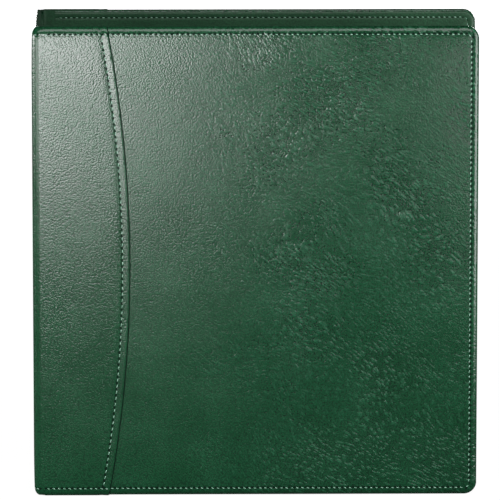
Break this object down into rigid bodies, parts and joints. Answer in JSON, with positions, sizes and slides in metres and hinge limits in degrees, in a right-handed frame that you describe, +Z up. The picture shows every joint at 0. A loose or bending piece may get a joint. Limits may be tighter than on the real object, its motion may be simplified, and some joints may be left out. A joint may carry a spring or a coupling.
{
  "type": "ring binder stamp album",
  "caption": "Padded green leatherette ring album with sewn edges and a curved spine seam, ring mechanism with end levers, and punched leaves with clear strips for stamps.",
  "frame": {"origin": "on the ground under the middle of the closed album", "axes": "+X from the spine to the fore-edge, +Y from the front cover to the back cover, +Z up along the spine"},
  "size_m": [0.283, 0.068, 0.3054],
  "materials": {
    "leather": "semi-gloss grained",
    "lining": "matte grained",
    "thread": "matte",
    "foam": "matte",
    "board": "matte",
    "nickel": "polished",
    "card": "matte",
    "film": "clear"
  },
  "bodies": {
    "spine": {"spine_board": "board", "spine_foam": "foam", "spine_skin": "leather", "spine_lining": "lining", "spine_edge_thread": "thread", "front_hinge_leather": "leather", "back_hinge_leather": "leather", "front_hinge_lining": "lining", "back_hinge_lining": "lining", "ring_base": "nickel", "base_rivets": "nickel", "lever_pins": "nickel"},
    "front_cover": {"front_board": "board", "front_foam": "foam", "front_skin": "leather", "front_spine_panel": "leather", "front_lining": "lining", "front_edge_thread": "thread", "front_seam_thread": "thread"},
    "back_cover": {"back_board": "board", "back_foam": "foam", "back_skin": "leather", "back_spine_panel": "leather", "back_lining": "lining", "back_edge_thread": "thread", "back_seam_thread": "thread"},
    "front_rings": {"front_carrier": "nickel", "front_ring_bottom": "nickel", "front_ring_middle": "nickel", "front_ring_top": "nickel"},
    "back_rings": {"back_carrier": "nickel", "back_ring_bottom": "nickel", "back_ring_middle": "nickel", "back_ring_top": "nickel"},
    "top_lever": {"top_lever": "nickel"},
    "bottom_lever": {"bottom_lever": "nickel"},
    "leaf_1": {"leaf_1_card": "card", "leaf_1_strips": "film"},
    "leaf_2": {"leaf_2_card": "card", "leaf_2_strips": "film"},
    "leaf_3": {"leaf_3_card": "card", "leaf_3_strips": "film"},
    "leaf_4": {"leaf_4_card": "card", "leaf_4_strips": "film"},
    "leaf_5": {"leaf_5_card": "card", "leaf_5_strips": "film"},
    "leaf_6": {"leaf_6_card": "card", "leaf_6_strips": "film"},
    "leaf_7": {"leaf_7_card": "card", "leaf_7_strips": "film"},
    "leaf_8": {"leaf_8_card": "card", "leaf_8_strips": "film"}
  },
  "joints": [
    {"name": "front_cover_hinge", "type": "hinge", "parent": "spine", "child": "front_cover", "pos_m": [-0.14043, -0.03298, 0.1527], "axis": [0, 0, -1], "range_deg": [0, 180], "deforming": ["front_hinge_leather", "front_hinge_lining"]},
    {"name": "back_cover_hinge", "type": "hinge", "parent": "spine", "child": "back_cover", "pos_m": [-0.14043, 0.03298, 0.1527], "axis": [0, 0, 1], "range_deg": [0, 180], "deforming": ["back_hinge_leather", "back_hinge_lining"]},
    {"name": "ring_opening", "type": "hinge", "parent": "spine", "child": "front_rings", "pos_m": [-0.1332, -0.0133, 0.1527], "axis": [0, 0, -1], "range_deg": [0, 9]},
    {"name": "back_ring_turn", "type": "hinge", "parent": "spine", "child": "back_rings", "pos_m": [-0.1332, 0.0133, 0.1527], "axis": [0, 0, 1], "range_deg": [0, 9]},
    {"name": "top_lever_turn", "type": "hinge", "parent": "spine", "child": "top_lever", "pos_m": [-0.1297, 0, 0.2747], "axis": [0, -1, 0], "range_deg": [0, 18]},
    {"name": "bottom_lever_turn", "type": "hinge", "parent": "spine", "child": "bottom_lever", "pos_m": [-0.1297, 0, 0.0307], "axis": [0, 1, 0], "range_deg": [0, 18]},
    {"name": "leaf_1_turn", "type": "hinge", "parent": "spine", "child": "leaf_1", "pos_m": [-0.11235, 0, 0.1527], "axis": [0, 0, -1], "range_deg": [0, 78.75]},
    {"name": "leaf_2_turn", "type": "hinge", "parent": "spine", "child": "leaf_2", "pos_m": [-0.11235, 0, 0.1527], "axis": [0, 0, -1], "range_deg": [0, 67.5]},
    {"name": "leaf_3_turn", "type": "hinge", "parent": "spine", "child": "leaf_3", "pos_m": [-0.11235, 0, 0.1527], "axis": [0, 0, -1], "range_deg": [0, 56.25]},
    {"name": "leaf_4_turn", "type": "hinge", "parent": "spine", "child": "leaf_4", "pos_m": [-0.11235, 0, 0.1527], "axis": [0, 0, -1], "range_deg": [0, 45]},
    {"name": "leaf_5_turn", "type": "hinge", "parent": "spine", "child": "leaf_5", "pos_m": [-0.11235, 0, 0.1527], "axis": [0, 0, 1], "range_deg": [0, 45]},
    {"name": "leaf_6_turn", "type": "hinge", "parent": "spine", "child": "leaf_6", "pos_m": [-0.11235, 0, 0.1527], "axis": [0, 0, 1], "range_deg": [0, 56.25]},
    {"name": "leaf_7_turn", "type": "hinge", "parent": "spine", "child": "leaf_7", "pos_m": [-0.11235, 0, 0.1527], "axis": [0, 0, 1], "range_deg": [0, 67.5]},
    {"name": "leaf_8_turn", "type": "hinge", "parent": "spine", "child": "leaf_8", "pos_m": [-0.11235, 0, 0.1527], "axis": [0, 0, 1], "range_deg": [0, 78.75]}
  ],
  "couplings": [
    {"joint": "back_ring_turn", "follows": "ring_opening", "ratio": 1},
    {"joint": "top_lever_turn", "follows": "ring_opening", "ratio": 2},
    {"joint": "bottom_lever_turn", "follows": "ring_opening", "ratio": 2},
    {"joint": "leaf_1_turn", "follows": "front_cover_hinge", "ratio": 0.4375},
    {"joint": "leaf_2_turn", "follows": "front_cover_hinge", "ratio": 0.375},
    {"joint": "leaf_3_turn", "follows": "front_cover_hinge", "ratio": 0.3125},
    {"joint": "leaf_4_turn", "follows": "front_cover_hinge", "ratio": 0.25},
    {"joint": "leaf_5_turn", "follows": "back_cover_hinge", "ratio": 0.25},
    {"joint": "leaf_6_turn", "follows": "back_cover_hinge", "ratio": 0.3125},
    {"joint": "leaf_7_turn", "follows": "back_cover_hinge", "ratio": 0.375},
    {"joint": "leaf_8_turn", "follows": "back_cover_hinge", "ratio": 0.4375}
  ]
}
